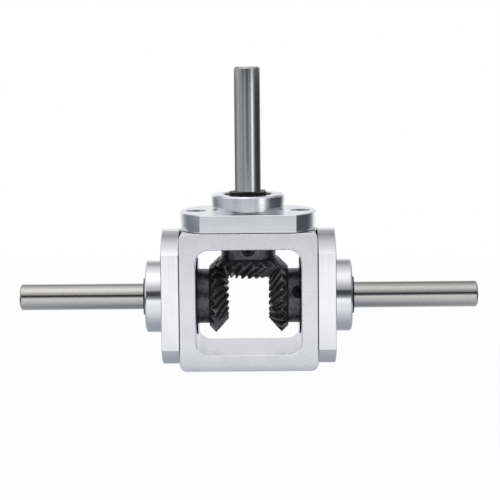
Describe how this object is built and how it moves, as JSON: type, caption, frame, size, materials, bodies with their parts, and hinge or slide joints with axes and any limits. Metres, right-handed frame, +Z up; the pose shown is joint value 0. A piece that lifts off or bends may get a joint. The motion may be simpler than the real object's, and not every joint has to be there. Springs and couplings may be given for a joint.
{
  "type": "right angle bevel gearbox",
  "caption": "Open-frame right angle gearbox: ground shafts in flanged ball bearing seats turn together through black spiral bevel gears.",
  "frame": {"origin": "centre of the housing's bottom face", "axes": "+X along the two side shafts towards the right one, +Y into the depth of the housing, so the front is -Y, and +Z up along the top shaft"},
  "size_m": [0.141, 0.03, 0.0915],
  "materials": {
    "housing_aluminium": "fine blasted clear anodised",
    "seat_aluminium": "fine turned and brushed",
    "shaft_steel": "ground",
    "gear_black_oxide": "black oxide, oiled",
    "set_screw_steel": "black oxide",
    "circlip_steel": "phosphated",
    "screw_steel": "black oxide",
    "race_steel": "ground",
    "ball_steel": "polished",
    "seal_rubber": "matte moulded"
  },
  "bodies": {
    "root": {"housing": "housing_aluminium", "top_bearing_seat": "seat_aluminium", "top_flange_screws": "screw_steel", "top_outboard_outer_race": "race_steel", "top_outboard_seals": "seal_rubber", "top_inboard_outer_race": "race_steel", "top_inboard_seals": "seal_rubber", "right_bearing_seat": "seat_aluminium", "right_flange_screws": "screw_steel", "right_outboard_outer_race": "race_steel", "right_outboard_seals": "seal_rubber", "right_inboard_outer_race": "race_steel", "right_inboard_seals": "seal_rubber", "left_bearing_seat": "seat_aluminium", "left_flange_screws": "screw_steel", "left_outboard_outer_race": "race_steel", "left_outboard_seals": "seal_rubber", "left_inboard_outer_race": "race_steel", "left_inboard_seals": "seal_rubber"},
    "top_shaft_line": {"top_shaft": "shaft_steel", "top_bevel_gear": "gear_black_oxide", "top_set_screw": "set_screw_steel", "top_circlip": "circlip_steel", "top_shim_washer": "race_steel", "top_spacer_sleeve": "race_steel", "top_outboard_inner_race": "race_steel", "top_inboard_inner_race": "race_steel"},
    "top_ball_cages": {"top_outboard_ball_cage": "ball_steel", "top_inboard_ball_cage": "ball_steel"},
    "right_shaft_line": {"right_shaft": "shaft_steel", "right_bevel_gear": "gear_black_oxide", "right_set_screw": "set_screw_steel", "right_circlip": "circlip_steel", "right_shim_washer": "race_steel", "right_spacer_sleeve": "race_steel", "right_outboard_inner_race": "race_steel", "right_inboard_inner_race": "race_steel"},
    "right_ball_cages": {"right_outboard_ball_cage": "ball_steel", "right_inboard_ball_cage": "ball_steel"},
    "left_shaft_line": {"left_shaft": "shaft_steel", "left_bevel_gear": "gear_black_oxide", "left_set_screw": "set_screw_steel", "left_circlip": "circlip_steel", "left_shim_washer": "race_steel", "left_spacer_sleeve": "race_steel", "left_outboard_inner_race": "race_steel", "left_inboard_inner_race": "race_steel"},
    "left_ball_cages": {"left_outboard_ball_cage": "ball_steel", "left_inboard_ball_cage": "ball_steel"}
  },
  "joints": [
    {"name": "top_shaft_spin", "type": "hinge", "parent": "root", "child": "top_shaft_line", "pos_m": [0, 0, 0.021], "axis": [0, 0, 1], "continuous": true},
    {"name": "top_ball_cage_spin", "type": "hinge", "parent": "root", "child": "top_ball_cages", "pos_m": [0, 0, 0.021], "axis": [0, 0, 1], "continuous": true},
    {"name": "right_shaft_spin", "type": "hinge", "parent": "root", "child": "right_shaft_line", "pos_m": [0, 0, 0.021], "axis": [1, 0, 0], "continuous": true},
    {"name": "right_ball_cage_spin", "type": "hinge", "parent": "root", "child": "right_ball_cages", "pos_m": [0, 0, 0.021], "axis": [1, 0, 0], "continuous": true},
    {"name": "left_shaft_spin", "type": "hinge", "parent": "root", "child": "left_shaft_line", "pos_m": [0, 0, 0.021], "axis": [1, 0, 0], "continuous": true},
    {"name": "left_ball_cage_spin", "type": "hinge", "parent": "root", "child": "left_ball_cages", "pos_m": [0, 0, 0.021], "axis": [1, 0, 0], "continuous": true}
  ],
  "couplings": [
    {"joint": "top_ball_cage_spin", "follows": "top_shaft_spin", "ratio": 0.4},
    {"joint": "right_shaft_spin", "follows": "top_shaft_spin", "ratio": -1},
    {"joint": "right_ball_cage_spin", "follows": "top_shaft_spin", "ratio": -0.4},
    {"joint": "left_shaft_spin", "follows": "top_shaft_spin", "ratio": 1},
    {"joint": "left_ball_cage_spin", "follows": "top_shaft_spin", "ratio": 0.4}
  ]
}
